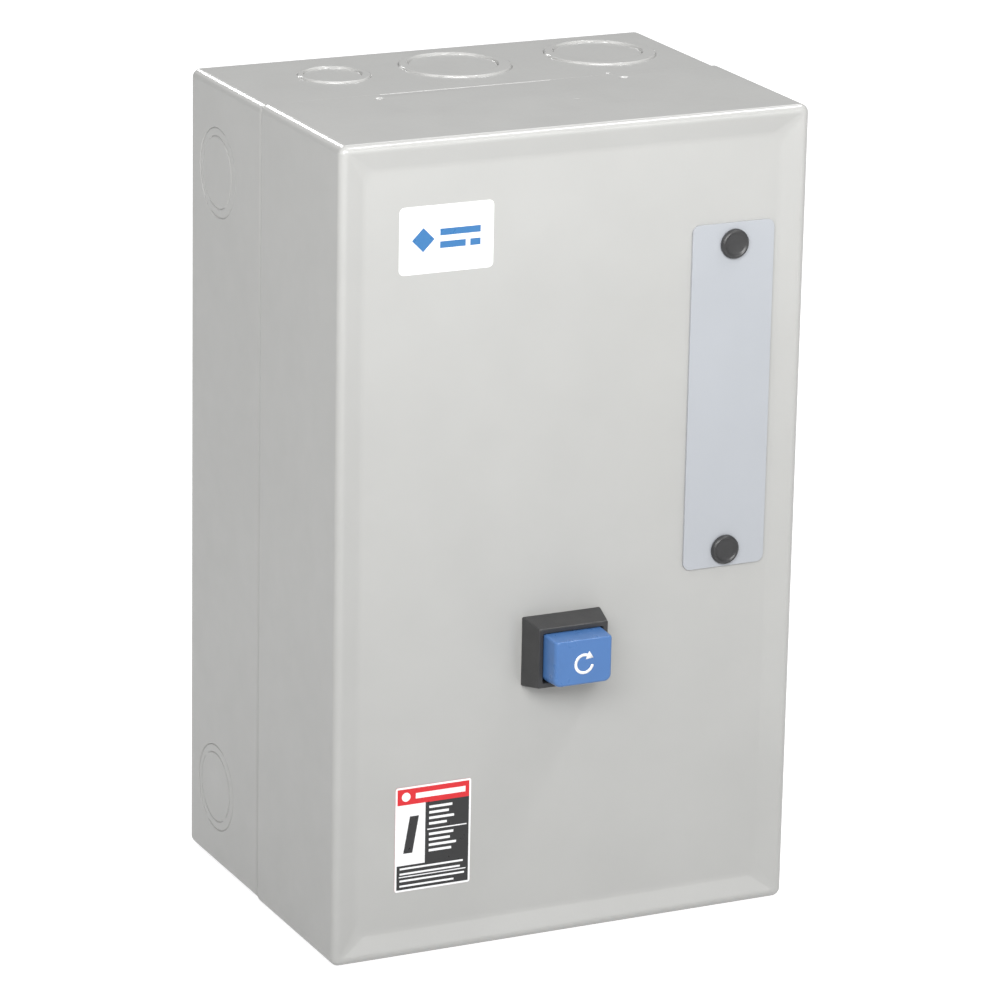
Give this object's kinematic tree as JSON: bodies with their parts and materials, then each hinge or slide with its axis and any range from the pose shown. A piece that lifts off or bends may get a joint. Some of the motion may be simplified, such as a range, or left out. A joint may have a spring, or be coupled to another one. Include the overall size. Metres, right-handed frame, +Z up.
{
  "type": "magnetic motor starter",
  "caption": "Enclosed magnetic motor starter: grey sheet-steel case with lift-off cover, external reset button, blank plate, contactor and overload relay inside.",
  "frame": {"origin": "centre of the flat back face that goes against the wall", "axes": "+Y into the wall, -Y out through the cover and the reset button, +Z up, +X to the right as seen from the front"},
  "size_m": [0.193, 0.1616, 0.319],
  "materials": {
    "case_paint": "light grey powder coat, satin, fine orange peel",
    "plate_paint": "cool light grey satin paint",
    "label_white": "gloss white printed film",
    "label_hazard": "gloss printed film, red, white and black, no lettering",
    "black_plastic": "moulded nylon, satin",
    "blue_plastic": "moulded plastic, satin",
    "dark_moulding": "moulded thermoset, matte",
    "grey_plastic": "moulded acetal, satin",
    "zinc_steel": "zinc plated",
    "spring_steel": "bright drawn wire",
    "green_steel": "green dyed zinc plate",
    "laminations": "stacked silicon steel, ground faces",
    "copper": "copper with silver tips",
    "brass": "stamped brass",
    "bobbin_nylon": "natural nylon",
    "coil_tape": "varnished tape over the winding",
    "carrier_phenolic": "brown phenolic",
    "heater_ceramic": "glazed ceramic body",
    "dial_plastic": "moulded plastic, satin",
    "tinned_lug": "tin plated aluminium",
    "wire_insulation": "PVC insulation"
  },
  "bodies": {
    "case": {"enclosure_box": "case_paint", "cover_screw": "zinc_steel", "cover_nut": "zinc_steel", "mounting_pan": "zinc_steel", "pan_screws": "zinc_steel", "ground_screw": "green_steel", "contactor_base": "dark_moulding", "contactor_screws": "zinc_steel", "magnet_core": "laminations", "shading_rings": "copper", "coil_bobbin": "bobbin_nylon", "coil_winding": "coil_tape", "coil_terminals": "brass", "contactor_housing": "dark_moulding", "arc_cover": "dark_moulding", "arc_screws": "zinc_steel", "line_contacts": "copper", "load_contacts": "copper", "line_screws": "zinc_steel", "load_screws": "zinc_steel", "aux_block": "dark_moulding", "aux_screws": "zinc_steel", "relay_base": "dark_moulding", "relay_screws": "zinc_steel", "relay_cover": "dark_moulding", "link_bars": "copper", "heater_packs": "heater_ceramic", "heater_screws": "zinc_steel", "bimetals": "brass", "trip_terminals": "brass", "relay_reset_spring": "spring_steel", "load_lugs": "tinned_lug", "lug_screws": "zinc_steel", "control_wires": "wire_insulation", "return_springs": "spring_steel"},
    "cover": {"front_cover": "case_paint", "cover_hook_tab": "case_paint", "blank_plate": "plate_paint", "plate_plugs": "black_plastic", "name_label": "label_white", "hazard_label": "label_hazard", "reset_bezel": "black_plastic", "reset_retainer": "black_plastic", "reset_spring": "spring_steel"},
    "reset_operator": {"reset_button": "blue_plastic", "reset_pushrod": "grey_plastic", "reset_clip": "zinc_steel"},
    "contact_carrier": {"armature": "laminations", "crossbar": "carrier_phenolic", "contact_bridges": "copper", "contact_springs": "spring_steel"},
    "trip_bar": {"trip_bar": "bobbin_nylon"},
    "relay_reset": {"relay_reset": "blue_plastic"},
    "adjustment_dial": {"adjustment_dial": "dial_plastic"}
  },
  "joints": [
    {"name": "cover_lift", "type": "slide", "parent": "case", "child": "cover", "axis": [0, -1, 0], "range_m": [0, 0.11]},
    {"name": "reset_press", "type": "slide", "parent": "cover", "child": "reset_operator", "axis": [0, 1, 0], "range_m": [0, 0.005], "stiffness_N_per_m": 400, "springref_m": -0.005, "deforming": ["reset_spring"]},
    {"name": "relay_reset_press", "type": "slide", "parent": "case", "child": "relay_reset", "axis": [0, 1, 0], "range_m": [0, 0.005], "stiffness_N_per_m": 200, "springref_m": -0.004, "deforming": ["relay_reset_spring"]},
    {"name": "armature_pull_in", "type": "slide", "parent": "case", "child": "contact_carrier", "axis": [0, 1, 0], "range_m": [0, 0.004], "stiffness_N_per_m": 1500, "springref_m": -0.006, "deforming": ["return_springs"]},
    {"name": "trip_slide", "type": "slide", "parent": "case", "child": "trip_bar", "axis": [1, 0, 0], "range_m": [0, 0.0015], "stiffness_N_per_m": 200, "springref_m": -0.002},
    {"name": "dial_turn", "type": "hinge", "parent": "case", "child": "adjustment_dial", "pos_m": [0.02, -0.1136, -0.0385], "axis": [0, -1, 0], "range_deg": [-60, 60]}
  ],
  "couplings": [
    {"joint": "relay_reset_press", "follows": "reset_press", "ratio": 1}
  ]
}
